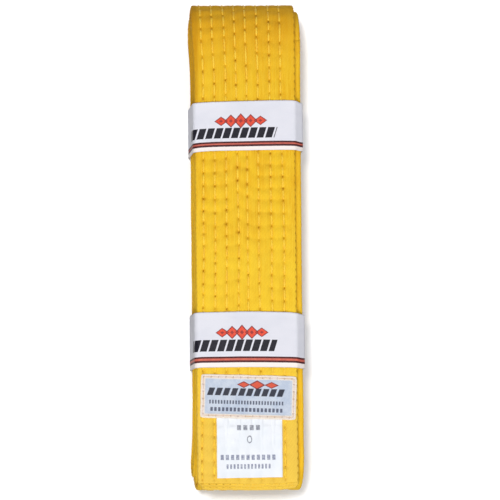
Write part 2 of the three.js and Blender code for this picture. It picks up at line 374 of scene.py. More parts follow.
def hole_phase(row, along):
    """Counts the stitches of a row."""
    places = holes[row]
    last = len(places) - 1
    phase = np.interp(along, places, np.arange(len(places)))
    phase = np.where(along < places[0], (along - places[0]) / STITCH, phase)
    return np.where(along > places[-1], last + (along - places[-1]) / STITCH, phase)


def hole_near(row, along):
    """Distance to the nearest hole of a row, and that hole's depth."""
    places = holes[row]
    k = np.clip(np.searchsorted(places, along), 1, len(places) - 1)
    before, after = np.abs(along - places[k - 1]), np.abs(along - places[k])
    return np.minimum(before, after), depths[row][np.where(before < after, k - 1, k)]


# ---- the quilted surface of the belt ---------------------------------------------------
SEAM_FURROWS = (0.95, 2.05)  # crosswise furrows, mm from the free end


def pressed(along, across):
    """How far the front run's quilting is pressed flat, 0 to 1."""
    y = OUTER_END_Y + along
    end = along < 120
    patch = hump(y, PATCH_LOW_Y - 0.2, PATCH_HIGH_Y + 0.2, 0.9) * hump(across, -17.6, 18.2, 0.8)
    tab = hump(y, -84.5, -64.0, 1.0) * hump(across, -10.8, 12.0, 0.8)
    tab_root = hump(y, -66.3, -62.0, 1.0) * hump(across, -11.6, 12.8, 0.6)
    label = np.maximum(np.maximum(patch, 0.45 * tab), tab_root) * end
    bands = np.maximum(hump(y, -43.5, -24.5, 1.2), hump(y, 37.2, 54.2, 1.2)) * (along < 160)
    return np.maximum(0.8 * label, 0.25 * bands)


def relief(along, across, face):
    """Height of the cloth above the belt's mid plane, and its painted shade (0 to 1.5),
    darker in row valleys, puckers, needle holes and seam furrows. face is 1 for the
    outer face and -1 for the inner."""
    along, across = np.broadcast_arrays(np.asarray(along, float), np.asarray(across, float))
    outer = face > 0
    # the outermost faces are full, the ones between layers are pressed together
    if outer:
        full = 1 - 0.45 * smooth(along, LOW_START + 15, LOW_END + 12)
        # stretched over the upper fold
        full = full * (1 - 0.48 * hump(along, TOP_START + 13, TOP_END - 8, 7.0))
    else:
        full = 0.55 + 0.25 * (1 - smooth(along, 38.0, 50.0))
    full = full * (1 - 0.35 * smooth(along, WRAP_END - 5, WRAP_END + 5))
    knots = knot_lines(along)
    height = np.zeros(along.shape)
    dark = np.zeros(along.shape)
    # how strongly the stitches draw the cloth in
    draw = 1 + 0.75 * hump(along, 91.0, 124.0, 6.0) - 0.25 * hump(along, 128.0, 158.0, 4.0)

    # the ridges between stitch rows
    for k in range(ROWS + 1):
        left, right = knots[k], knots[k + 1]
        here = np.full(along.shape, True)
        if k > 0:
            here &= across >= left
        if k < ROWS:
            here &= across < right
        if not here.any():
            continue
        length, side = along[here], across[here]
        gap = (right - left)[here]
        x = np.clip((side - left[here]) / gap, 0, 1)
        left_pull, right_pull = 1 - x, x
        if k in (0, ROWS):
            inward = x if k == 0 else 1 - x
            ridge = np.sin(math.pi * (0.26 + 0.74 * inward)) ** 0.75
            left_pull = 0 * x if k == 0 else inward ** 1.4
            right_pull = inward ** 1.4 if k == 0 else 0 * x
        else:
            ridge = np.sin(math.pi * x) ** 0.88
        size = np.clip(gap / 4.2, 0.8, 1.12)
        # cloth sinks in line with the needle holes and swells between them
        left_wave = np.cos(2 * math.pi * hole_phase(max(k - 1, 0), length))
        right_wave = np.cos(2 * math.pi * hole_phase(min(k, ROWS - 1), length))
        pucker = left_pull * left_wave + right_pull * right_wave
        uneven = 0.16 * noise2(side, length, 3.4, 8.0, 31 + k + (0 if outer else 50))
        uneven += 0.10 * noise2(side, length, 1.3, 3.1, 41 + k)
        uneven += 0.05 * noise2(side, length, 0.8, 1.9, 42 + k)
        sink = 0.170 * draw[here] * pucker * (0.30 + 0.70 * ridge)
        height[here] = 0.56 * size * ridge * (1 + uneven) - sink
        # painted shade, darker in the valleys by the stitch rows and in the puckers where the cloth
        # sinks in line with the needle holes
        row_shade = np.clip(1 - ridge, 0, 1) ** 1.25 * 0.26 * (0.75 + 0.25 * full[here])
        pucker_shade = 0.33 * np.clip(pucker, 0, 2) ** 1.5 * draw[here]
        patchy = 0.4 + 0.6 * noise2(side, length, 4.0, 6.0, 77) ** 2
        dark[here] = row_shade + pucker_shade * patchy
    flat = pressed(along, across) if outer else 0
    height = 0.70 + height * full * (1 - 0.72 * flat)

    # needle holes: a steep pit in a wider dimple
    for i in range(ROWS):
        near = np.abs(across - knots[i + 1]) < 1.6
        if not near.any():
            continue
        distance, depth = hole_near(i, along[near])
        aside = (across - knots[i + 1])[near]
        pit = np.exp(-(((aside / 0.35) ** 2 + (distance / 0.36) ** 2) ** 1.4)) * depth
        dimple = peak(aside, 0.95) * peak(distance, 0.95) * depth
        height[near] -= (0.34 * pit + 0.11 * dimple) * (full[near] if outer else 0.7)
        # painted shade in each needle hole and its dimple
        mark = np.exp(-(((aside / 0.31) ** 2 + (distance / 0.32) ** 2) ** 1.4)) * depth
        dark[near] = np.maximum(dark[near], 1.32 * mark) + 0.13 * dimple

    # broad unevenness and small creases
    crease = 0.07 * noise2(across, along, 9.0, 14.0, 51)
    crease = crease + 0.045 * noise2(across, along, 2.2, 3.6, 52)
    crease = crease + 0.02 * noise2(across, along, 0.9, 1.5, 54)
    height = height + full * crease * (1 - flat)
    # nothing stands up past what the bands clear, or sinks to the padding
    cap = HALF_T + 0.55 - (0.17 * smooth(along, TOP_END - 8, TOP_END) if outer else 0)
    height = np.maximum(cap - np.log1p(np.exp((cap - height) * 14)) / 14, 0.17)

    # the closed end is pressed thinner, with two crosswise furrows under its seams
    fade = 1 - smooth(along, 2.0, 4.0)
    seam = sum(peak(along - at, 0.28) for at in SEAM_FURROWS)
    seam = seam * (0.35 + 0.65 * smooth(-across, 3.0, 8.0) + 0.25 * smooth(across, 8.0, 13.0))
    thin = 0.93 + 0.04 * noise2(across, along, 1.6, 1.2, 53)
    ended = height * (1 - fade) + fade * thin - 0.16 * seam
    height = np.where(along < 4.5, ended, height)
    # painted shade along the two seam furrows
    dark = dark * (1 - fade) + fade * 0.85 * seam
    # the inner side of the tightest fold has no room
    if not outer:
        height = height * (1 - 0.25 * hump(along, MARK["top_6"], MARK["back_6"], 3.0))
    return height, np.clip(dark, 0, 1.5)


def belt_ring(along, tops, unders, edges):
    """Sections of the belt: tops and unders are counts of points in each gap between rows,
    edges the points round each edge. Gives across, out and painted shade."""
    knots = knot_lines(along)[..., None]
    phi = np.linspace(0, math.pi, edges + 2)[1:-1][None, :]

    def columns(per_gap):
        part = np.linspace(0, 1, per_gap, endpoint=False)
        # points gather a little towards the stitch rows
        part = part - 0.14 * np.sin(2 * math.pi * part) / (2 * math.pi) * 2.2
        gaps = [knots[k] + (knots[k + 1] - knots[k]) * part for k in range(ROWS + 1)]
        return np.concatenate([*gaps, knots[-1]], 1)

    def rim(sign, top_height, low_height):
        # small notches where the edge is overcast
        right = sign > 0
        gap = 2.7 if right else 2.4
        notch_at = (along + (0.9 if right else 0)) % gap - gap / 2
        notch = np.where(along < 200, 0.26 if right else 0.09, 0.07) * peak(notch_at, 0.38)
        wave = 0.07 * noise1(along, 7.0, 61 + sign) + 0.12 * noise1(along, 31.0, 71 + sign) - 0.13
        reach = EDGE_R + wave - notch
        if not right:
            # the left corner of the upper fold is drawn in, clear of the band there
            reach = reach - 0.45 * peak(along - (TOP_START + TOP_END) / 2, 5.5)
        middle, half = (top_height - low_height) / 2, (top_height + low_height) / 2
        bulge = np.sin(phi) ** 0.85 * (1 - 0.10 * peak(phi - math.pi / 2, 0.22))
        side = sign * (HALF_W - EDGE_R + reach[:, None] * bulge)
        out = middle[:, None] + half[:, None] * np.cos(phi)
        # the rounded edges carry a painted shade, deeper in the overcast notches
        return side, out, np.broadcast_to((0.24 + 2.0 * notch)[:, None], side.shape)

    top, under = columns(tops), columns(unders)[:, ::-1]
    top_out, top_shade = relief(along[:, None], top, 1)
    under_out, under_shade = relief(along[:, None], under, -1)
    right = rim(1, top_out[:, -1], under_out[:, 0])
    left = [part[:, ::-1] for part in rim(-1, top_out[:, 0], under_out[:, -1])]
    parts = ((top, top_out, top_shade), right, (under, -under_out, under_shade), left)
    return [np.concatenate(columns_of, 1) for columns_of in zip(*parts)]


def end_shape(along, across, out):
    """Rounds off the corners and the thickness of the belt's free end."""
    near = along[:, None]
    corner_r, edge_r = 1.3, 0.85
    left = 1.9 * (1 - np.clip(near / 3.0, 0, 1)) ** 1.1
    right = corner_r * (1 - np.sqrt(1 - (1 - np.clip(near / corner_r, 0, 1)) ** 2 * 0.999))
    across = across * (1 - np.where(across < 0, left, right) / HALF_W)
    rounded = 1 - (1 - np.clip((near + 0.12) / edge_r, 0, 1)) ** 2
    return across, out * np.sqrt(np.clip(rounded, 0.02, 1))


def bow(along, across):
    """How far the free end's edge runs past its nominal line."""
    curve = np.interp(across, [-19, -15, -5, 8, 14, 19], [-0.1, 0.15, 0.35, 0.5, 0.2, -0.5])
    return (1 - smooth(along, 0.0, 7.0)) * (curve + 0.07 * noise1(across, 4.0, 63))


def belt_piece(name, along, tops, unders, edges, free_end=False):
    across, out, dark = belt_ring(along, tops, unders, edges)
    # girth coordinate for the weave
    girth = np.append(across, np.full((len(along), 1), 3 * HALF_W + 3.15), 1)
    round_edge = np.linspace(0, 3.0, edges + 2)[1:-1]
    right = 9 * tops + 1
    under = right + edges
    left = under + 9 * unders + 1
    girth[:, right:under] = HALF_W - EDGE_R + round_edge
    girth[:, under:left] = 2 * HALF_W + 1.1 - across[:, under:left]
    girth[:, left:-1] = 3 * HALF_W + 0.15 + round_edge
    station = along[:, None]
    if free_end:
        across, out = end_shape(along, across, out)
        station = station - bow(station, across)
    # the painted shade is stored per point for the cloth material
    return loft(name, place(station, across, out), girth, along, {"painted_shade": dark})


front_along = np.concatenate([[0, 0.1, 0.22, 0.36, 0.55], spaced(0.75, FRONT_END, 0.44)])
wrap_along = np.concatenate([
    spaced(FRONT_END, LOW_START - 8, 0.62),
    spaced(LOW_START - 8, LOW_END + 36, 0.45)[1:],
    spaced(LOW_END + 36, WRAP_END, 0.8)[1:],
])
inner_along = spaced(WRAP_END, BELT_END, 1.15)
belt_front = belt_piece("belt_front_run", front_along, 11, 7, 7, free_end=True)
belt_wrap = belt_piece("belt_outer_wrap", wrap_along, 9, 5, 7)
belt_inner = belt_piece("belt_inner_windings", inner_along, 2, 2, 7)

# ---- sewing threads --------------------------------------------------------------------


def tube(name, along, across, out, half_w, half_h, sides=10, ply=1.15, crosswise=False, hand=1):
    """A twisted two ply thread with its middle at (along, across, out)."""
    phi = np.linspace(0, 2 * math.pi, sides, endpoint=False)[None, :]
    length = across if crosswise else along
    swell = 1 + 0.13 * np.cos(2 * phi - hand * 2 * math.pi * length[:, None] / ply)
    wide = np.reshape(half_w, (-1, 1)) * swell * np.cos(phi)
    high = np.reshape(half_h, (-1, 1)) * swell * np.sin(phi)
    along, across, out = along[:, None], across[:, None], out[:, None] + high
    if crosswise:
        points = place(along + wide, across, out)
    else:
        points = place(along, across + wide, out)
    return loft(name, points, np.linspace(0, 2.1, sides + 1), length)


def tips(x, start, end):
    """Zero at both ends of a thread, one from 0.5 mm in."""
    return np.minimum(smooth(x - start, 0, 0.5), smooth(end - x, 0, 0.5))


def stitch_row(name, row, start, end, face, size, sides=10):
    # the lower thread lies tighter
    half_w, half_h = (0.32, 0.21) if face > 0 else (0.32 * 0.92, 0.21 * 0.85)
    along = spaced(start, end, size)
    distance, depth = hole_near(row, along)
    phase = hole_phase(row, along)
    middle = 0.5 - 0.5 * np.cos(2 * math.pi * phase)
    # each stitch lies at a slightly different slant
    number = np.floor(phase)
    slant = 0.11 * noise1(number * 7.31, 1.0, 81, lane=row) * (phase - number - 0.5)
    line = row_across(row, along)
    across = line + slant + 0.03 * noise1(along, 1.7, 82 + row)
    # it lies on the mean height of the cloth at its two sides
    cloth = (relief(along, line + 0.75, face)[0] + relief(along, line - 0.75, face)[0]) / 2
    dip = 0.95 * np.clip(1.5 * depth, 0.35, 1) * peak(distance, 0.50)
    out = 0.70 + 0.30 * (cloth - 0.70) + 0.04 + 0.09 * middle - dip
    out = out - 0.45 * (1 - tips(along, start, end))
    pinch = (1 - 0.42 * peak(distance, 0.6)) * (1 + 0.10 * noise1(along, 9.0, 84, lane=row))
    half_w = half_w * pinch * (0.90 + 0.18 * middle)
    return tube(name, along, across, face * out, half_w, half_h * pinch, sides, hand=face)


def cross_seam(name, line, start, end, pitch, seed):
    """A seam across the free end, line mm from it."""
    across = spaced(start, end, 0.12)
    phase = (across - start) / pitch
    distance = np.abs(phase - np.round(phase)) * pitch
    cloth, _ = relief(line, across, 1)
    thin = math.sqrt(1 - (1 - min((line + 0.12) / 0.85, 1)) ** 2)
    wobble = 0.07 * noise1(across, 5.0, seed) + 0.04 * noise1(across, 1.3, seed + 1)
    out = (cloth + 0.03) * thin + 0.04 * (1 - np.cos(2 * math.pi * phase))
    out = out - 0.36 * peak(distance, 0.3) - 0.5 * (1 - tips(across, start, end))
    along = line + wobble - bow(line, across)
    return tube(name, along, across, out, 0.22, 0.16, sides=8, ply=0.9, crosswise=True)


def hidden_row(row):
    """The lower thread inside the winding."""
    along = spaced(44.7, BELT_END - 3.5, 0.95)
    out = 0.80 - 0.30 * peak(hole_near(row, along)[0], 0.5)
    tight = (along > MARK["top_6"] - 1) & (along < MARK["back_6"] + 1)
    out = np.where(tight, out - 0.1, out)
    name = f"bobbin_row_wound_{row + 1}"
    return tube(name, along, row_across(row, along), -out, 0.27, 0.14, sides=5, hand=-1)


def padding(name, along, half_w, count, seed, thin_rim=False):
    """The flat strip inside the cover, which bends with it."""
    across = np.linspace(-half_w, half_w, count)
    across = np.concatenate([across, across[::-1]])
    out = np.repeat([0.12, -0.12], count)
    if thin_rim:
        out = out * np.sqrt(np.clip(1 - (np.abs(across) / 18.1) ** 40, 0.2, 1))
    uneven = 0.02 * noise2(along[:, None], across[None, :], 2.0, 2.0, seed)
    points = place(along[:, None], across[None, :], out[None, :] + uneven)
    return loft(name, points, np.linspace(0, 72, 2 * count + 1), along)


front_rows, wrap_rows, under_rows = [], [], []
for i in range(ROWS):
    start = holes[i][0]
    split = FRONT_END - 0.5
    name = f"row_front_{i + 1}"
    front_rows.append(stitch_row(f"needle_row_front_{i + 1}", i, start, split, 1, 0.2))
    wrap_rows.append(stitch_row(f"needle_row_wrap_{i + 1}", i, split, WRAP_END - 2, 1, 0.34, 8))
    under_rows.append(stitch_row(f"bobbin_row_end_{i + 1}", i, start, 43.3, -1, 0.2))
seam_outer = cross_seam("end_seam_outer", 0.98, -16.6, 17.2, pitch=2.45, seed=91)
seam_inner = cross_seam("end_seam_inner", 2.08, -17.0, 17.4, pitch=2.6, seed=95)
end_core = padding("end_padding", spaced(1.4, END_LENGTH, 0.8), 17.7, 37, 99, thin_rim=True)
wound_along = spaced(END_LENGTH + 0.2, BELT_END - 1.0, 1.6)
wound_core = padding("wound_padding", wound_along, 17.9, 19, 98)
inside_rows = [hidden_row(i) for i in range(ROWS)]

# ---- woven patch; its own coordinates are a and b, from its middle -----------------------
PATCH_COS, PATCH_SIN = math.cos(PATCH_TURN), math.sin(PATCH_TURN)
STITCH_A, STITCH_B = PATCH_HALF_W - PATCH_HEM, PATCH_HALF_H - PATCH_HEM
HEM_LENGTH = 4 * (STITCH_A + STITCH_B)
HEM_STITCHES = round(HEM_LENGTH / 2.75)
HEM_STITCH = HEM_LENGTH / HEM_STITCHES


def soft_height(x, y):
    """Softened height of the belt's cloth at x, y, above TOP_Z."""
    taps = ((0, 0, 0.4), (0.6, 0, 0.15), (-0.6, 0, 0.15), (0, 0.7, 0.15), (0, -0.7, 0.15))
    total = 0
    for shift_x, shift_y, weight in taps:
        height, _ = relief(y + shift_y - OUTER_END_Y, x + shift_x - BELT_X, 1)
        total = total + weight * height
    return total - HALF_T


def patch_edge(a, b):
    """Distance to the nearest edge of the patch."""
    return np.minimum(PATCH_HALF_W - np.abs(a), PATCH_HALF_H - np.abs(b))


def patch_points(a, b):
    part_a, part_b = np.abs(a) / PATCH_HALF_W, np.abs(b) / PATCH_HALF_H
    wobble_a = 0.09 * noise1(b, 2.6, 101, lane=np.sign(a)) * part_a ** 6
    sag = 0.10 * (a / PATCH_HALF_W) ** 2 * np.sign(b) * 0.6
    wobble_b = (0.09 * noise1(a, 3.1, 102, lane=np.sign(b)) - sag) * part_b ** 6
    # the sides are drawn in near the corners
    a_in = a * (1 - 0.016 * part_b ** 14) + wobble_a
    b_in = b * (1 - 0.030 * part_a ** 26) + wobble_b
    x = PATCH_X + a_in * PATCH_COS - b_in * PATCH_SIN
    y = PATCH_Y + a_in * PATCH_SIN + b_in * PATCH_COS
    return x, y


def patch_surface(a, b):
    """x, y, and the patch's upper and lower heights above TOP_Z."""
    x, y = patch_points(a, b)
    edge = patch_edge(a, b)
    base = 0.10 + 0.55 * np.maximum(soft_height(x, y), -0.22)
    # the hem is folded under, so it stands a little higher than the field
    hem = 0.11 * (1 - smooth(edge, 1.45, 1.85))
    seam = -0.07 * peak(edge - PATCH_HEM, 0.22)
    field = 0.035 * noise2(a, b, 3.2, 2.8, 103) * smooth(edge, 1.6, 3.0)
    # it rises over the root of the size tab
    rise = smooth(-b, PATCH_HALF_H - 2.6, PATCH_HALF_H - 0.8)
    bottom = base + 0.17 * hump(x, -13.2, 12.2, 1.0) * rise
    rounded = np.clip(1 - (1 - np.clip(edge / 0.28, 0, 1)) ** 2, 0, 1)
    return x, y, bottom + 0.30 + hem + seam + field - 0.16 * (1 - np.sqrt(rounded)), bottom


def hem_line(length):
    """The line of the perimeter stitching, from the upper left corner."""
    at = np.cumsum([0, 2 * STITCH_A, 2 * STITCH_B, 2 * STITCH_A, 2 * STITCH_B])
    corners_a = [-STITCH_A, STITCH_A, STITCH_A, -STITCH_A, -STITCH_A]
    corners_b = [STITCH_B, STITCH_B, -STITCH_B, -STITCH_B, STITCH_B]
    return np.interp(length, at, corners_a), np.interp(length, at, corners_b)


def patch_cloth():
    a, b = np.meshgrid(
        np.linspace(-PATCH_HALF_W, PATCH_HALF_W, 261),
        np.linspace(-PATCH_HALF_H, PATCH_HALF_H, 103),
    )
    x, y, top, bottom = patch_surface(a, b)
    prick = np.zeros(a.shape)
    for hole_a, hole_b in zip(*hem_line(np.arange(HEM_STITCHES) * HEM_STITCH)):
        prick = np.maximum(prick, peak(a - hole_a, 0.33) * peak(b - hole_b, 0.33))
    top = np.maximum(top - 0.17 * prick, bottom + 0.08)
    # the pricks are dents, and are also darkened with a painted shade
    return sheet(
        "woven_patch_cloth",
        np.stack([x, y, TOP_Z + top], -1),
        np.stack([x, y, TOP_Z + bottom], -1),
        a,
        b,
        {"painted_shade": np.concatenate([prick.ravel(), 0 * prick.ravel()])},
    )


def patch_stitches():
    """One twisted thread round the hem, its ends almost meeting."""
    length = spaced(0, HEM_LENGTH, 0.13)[:-1]
    a, b = hem_line(length)
    phase = length / HEM_STITCH
    distance = np.abs(phase - np.round(phase)) * HEM_STITCH
    wobble = 0.05 * noise1(length, 3.0, 111)
    x, y, z, _ = patch_surface(a + wobble, b + wobble)
    center = np.stack([x, y, TOP_Z + z + 0.07 - 0.26 * peak(distance, 0.36)], -1)
    forward = np.roll(center, -1, 0) - np.roll(center, 1, 0)
    forward /= np.linalg.norm(forward, axis=1)[:, None]
    side = np.cross(forward, [0, 0, 1.0])
    side /= np.linalg.norm(side, axis=1)[:, None]
    upward = np.cross(side, forward)
    phi = np.linspace(0, 2 * math.pi, 8, endpoint=False)
    swell = 1 + 0.12 * np.cos(2 * phi[None, :] - 2 * math.pi * length[:, None] / 0.8)
    wide = (0.17 * swell * np.cos(phi))[:, :, None] * side[:, None, :]
    high = (0.12 * swell * np.sin(phi))[:, :, None] * upward[:, None, :]
    rings = center[:, None, :] + wide + high
    closing = rings[0] + (rings[0] - rings[0]) * 0.02
    rings = np.concatenate([rings, closing[None]])
    rings[-1] = rings[0] + (rings[-2] - rings[0]) * 0.02
    length = np.append(length, HEM_LENGTH)
    return loft("patch_hem_stitches", rings, np.linspace(0, 1, 9), length)


patch = patch_cloth()
patch_thread = patch_stitches()

# ---- size tab ------------------------------------------------------------------------------


def size_tab():
    """A ribbon whose upper end lies under the patch's lower edge."""
    a, b = np.meshgrid(
        np.linspace(-TAB_HALF_W, TAB_HALF_W, 99), np.linspace(TAB_LOW_Y, TAB_HIGH_Y, 141)
    )
    part = a / TAB_HALF_W
    x = TAB_X + a + 0.05 * noise1(b, 6.0, 121, lane=np.sign(a)) * np.abs(part) ** 8
    y = b + np.where(b < -80, 0.05 * noise1(a, 5.0, 122) + 0.10 * part, 0)
    ridges = soft_height(x, np.minimum(y, -64.2))
    # it lifts and curls more towards its lower end
    free = smooth(-y, 64.0, 68.0)
    lift = 0.16 + 0.30 * np.maximum(ridges, -0.1) + 0.05 + 0.05 * noise2(a, b, 8.0, 9.0, 123)
    lift = lift + 0.06 * smooth(np.abs(a), 9, TAB_HALF_W)
    z = 0.06 + free * lift + 0.16 * smooth(-y, 70, 86) + 0.10 * part ** 2 * smooth(-y, 68, 84)
    # it stays above the cloth, and above the threads that run below it
    bare, _ = relief(y - OUTER_END_Y, x - BELT_X, 1)
    z = np.maximum(z, bare - HALF_T + 0.06)
    for i in range(2, ROWS):
        aside = x - BELT_X - row_across(i, y - OUTER_END_Y)
        z = np.maximum(z, 0.34 * np.exp(-((aside / 0.66) ** 4)))
    top = np.stack([x, y, TOP_Z + z + 0.13], -1)
    return sheet("size_tab_ribbon", top, np.stack([x, y, TOP_Z + z], -1), a, b - TAB_LOW_Y)


tab = size_tab()

# ---- paper bands -----------------------------------------------------------------------------
HALF_PAPER = 0.1
BAND_RISE = 0.64  # of the bands' inner face over the belt's top
PAPER_TOP = TOP_Z + BAND_RISE + HALF_PAPER
# the band's section, seen along Y: x, z and corner radius; its ends overlap at the back
BAND_SECTION = [
    (6.0, 0.6, 0), (-8.4, 0.6, 1.6), (-10.4, HALF_PAPER, 1.6), (-20.7, HALF_PAPER, 1.7),
    (-20.68, 9.0, 40), (-20.62, 18.0, 40), (-20.6, PAPER_TOP, 1.75),
    (17.5, PAPER_TOP - 0.02, 1.5), (20.62, 25.4, 2.2), (20.55, 13.0, 60),
    (20.7, HALF_PAPER, 1.7), (-7.6, HALF_PAPER, 0),
]
# x and y along the upper and lower cut edges of each band
UPPER_BAND_TOP = [
    (-20.7, 54.0), (-18.5, 54.25), (-14.1, 54.5), (-6.7, 54.75), (0.8, 54.92),
    (8.2, 55.12), (13.8, 55.18), (16.5, 55.1), (18.2, 54.9), (20.7, 54.35),
]
UPPER_BAND_LOW = [
    (-20.7, 35.6), (-18.0, 35.95), (-14.0, 36.2), (-10.5, 36.3), (-3.1, 36.42),
    (4.3, 36.55), (13.0, 36.65), (16.8, 36.6), (20.7, 36.3),
]
LOWER_BAND_TOP = [
    (-20.7, -24.15), (-18.5, -23.9), (-11.0, -23.8), (-3.6, -23.6), (3.8, -23.65),
    (11.0, -23.85), (15.0, -24.0), (17.5, -24.3), (20.7, -24.8),
]
LOWER_BAND_LOW = [
    (-20.7, -44.6), (-18.0, -44.4), (-3.8, -44.3), (5.0, -44.35), (11.1, -44.45),
    (16.5, -44.55), (20.7, -44.9),
]


def fillet(stations, size):
    """A dense path through (x, z, radius) stations with rounded corners, and its length
    at each point."""
    points = [np.array(station[:2], float) for station in stations]
    out = [points[0][None]]
    for k in range(1, len(points) - 1):
        corner, radius = points[k], stations[k][2]
        before, after = points[k - 1] - corner, points[k + 1] - corner
        before_length, after_length = np.linalg.norm(before), np.linalg.norm(after)
        before, after = before / before_length, after / after_length
        angle = math.acos(np.clip(before @ after, -1, 1))
        cut = min(radius / math.tan(angle / 2), 0.48 * before_length, 0.48 * after_length)
        radius = cut * math.tan(angle / 2)
        middle = (before + after) / np.linalg.norm(before + after)
        center = corner + middle * radius / math.sin(angle / 2)
        first, last = corner + before * cut - center, corner + after * cut - center
        sweep = math.pi - angle
        part = np.linspace(0, 1, max(4, int(sweep * radius / 0.16)) + 1)[:, None]
        arc = first * np.sin((1 - part) * sweep) + last * np.sin(part * sweep)
        out.append(center + arc / math.sin(sweep))
    path = np.concatenate([*out, points[-1][None]])
    steps = np.linalg.norm(np.diff(path, axis=0), axis=1)
    length = np.concatenate([[0], np.cumsum(steps)])
    even = np.linspace(0, length[-1], int(length[-1] / size) + 1)
    # keep the rounded corners dense
    dense = length[(length > 0.4) & (length < length[-1] - 0.4)]
    at = np.unique(np.concatenate([even, dense]))
    at = at[np.concatenate([[True], np.diff(at) > 0.05])]
    return np.stack([np.interp(at, length, path[:, k]) for k in (0, 1)], 1), at


def paper_band(name, top_edge, low_edge, width, seed):
    path, length = fillet(BAND_SECTION, size=0.55)
    tangent = np.gradient(path, length, axis=0)
    tangent /= np.linalg.norm(tangent, axis=1)[:, None]
    # length round the band is counted from the middle of its front
    top = (path[:, 1] > PAPER_TOP - 1.0) & (path[:, 0] < 17.5)
    around = length - np.interp(0.0, path[top][:, 0], length[top])
    around, part = np.meshgrid(around, np.linspace(0, 1, 47))
    x, z = path[:, 0] + 0 * part, path[:, 1] + 0 * part
    on_top = smooth(z, PAPER_TOP - 2.5, PAPER_TOP - 0.5)

    def edge_y(edge):
        """The cut edge: as listed on the front, straight elsewhere."""
        edge_x, listed = zip(*edge)
        straight = np.interp(x, [edge_x[0], edge_x[-1]], [listed[0], listed[-1]])
        return np.interp(x, edge_x, listed) * on_top + straight * (1 - on_top)

    low_y = edge_y(low_edge)
    y = low_y + (edge_y(top_edge) - low_y) * part
    # off its flat back, paper is slightly cockled, and its cut edges stand off a little
    cockle = 0.05 * noise2(around, part * width, 9.0, 12.0, seed)
    cockle += 0.02 * noise2(around, part * width, 2.7, 6.0, seed + 1)
    curl = on_top * 0.10 * (smooth(part, 0.90, 1.0) + smooth(1 - part, 0.92, 1.0))
    curl = curl * (0.6 + 0.8 * noise1(around, 12.0, seed + 2))
    lift = (z >= 1.2) * (cockle + curl)

    def face(offset):
        off = offset + lift
        return np.stack([x - tangent[:, 1] * off, y, z + tangent[:, 0] * off], -1)

    outer, inner = face(HALF_PAPER), face(-HALF_PAPER)
    outer[..., 2] = np.maximum(outer[..., 2], 0.0)
    return sheet(name, outer, inner, around, part * width)


upper_paper = paper_band("upper_band_wrap", UPPER_BAND_TOP, UPPER_BAND_LOW, 18.5, seed=131)
lower_paper = paper_band("lower_band_wrap", LOWER_BAND_TOP, LOWER_BAND_LOW, 20.6, seed=141)

# ---- shader node helpers -----------------------------------------------------------------------


def lin(*rgb):
    """A linear colour from 0..255 display values."""
    parts = [v / 255 for v in rgb]
    return (*(v / 12.92 if v <= 0.04045 else ((v + 0.055) / 1.055) ** 2.4 for v in parts), 1)


class Value:
    """A shader socket that can be used in arithmetic; each operation adds a node."""

    def __init__(self, nodes, socket):
        self.nodes = nodes
        self.socket = socket

    def math(self, operation, *others):
        return self.nodes.math(operation, self, *others)

    def __add__(self, other):
        return self.math("ADD", other)

    def __sub__(self, other):
        return self.math("SUBTRACT", other)

    def __rsub__(self, other):
        return self.nodes.math("SUBTRACT", other, self)

    def __mul__(self, other):
        return self.math("MULTIPLY", other)

    def __truediv__(self, other):
        return self.math("DIVIDE", other)

    def __pow__(self, other):
        return self.math("POWER", other)

    def __abs__(self):
        return self.math("ABSOLUTE")

    def min(self, other):
        return self.math("MINIMUM", other)

    def max(self, other):
        return self.math("MAXIMUM", other)

    def scaled(self, gain, base):
        return self.math("MULTIPLY_ADD", gain, base)

    def wave(self, period, shift=0.0):
        """A cosine, 0 to 1, one at zero."""
        return ((self + shift) * (2 * math.pi / period)).math("COSINE").scaled(0.5, 0.5)

    def step(self, low, high):
        """Rises smoothly from 0 at low to 1 at high."""
        inputs = {"Value": self, "From Min": low, "From Max": high}
        kind = "ShaderNodeMapRange"
        return self.nodes.node(kind, inputs, "Result", interpolation_type="SMOOTHSTEP")

    def between(self, low, high, soft):
        return self.step(low - soft, low + soft) * (1.0 - self.step(high - soft, high + soft))


class Nodes:
    """Builds nodes in a tree. Inputs are Values or plain values."""

    def __init__(self, tree):
        self.tree = tree

    def put(self, socket, value):
        if isinstance(value, Value):
            self.tree.links.new(value.socket, socket)
        else:
            socket.default_value = value

    def node(self, kind, inputs, output=0, **settings):
        node = self.tree.nodes.new(kind)
        for key, value in settings.items():
            setattr(node, key, value)
        for key, value in inputs.items():
            self.put(node.inputs[key], value)
        return Value(self, node.outputs[output])

    def math(self, operation, *inputs):
        return self.node("ShaderNodeMath", dict(enumerate(inputs)), operation=operation)

    def split(self, vector):
        first = self.node("ShaderNodeSeparateXYZ", {0: vector})
        return [Value(self, output) for output in first.socket.node.outputs]

    def camera_ray(self):
        return self.node("ShaderNodeLightPath", {}, "Is Camera Ray")


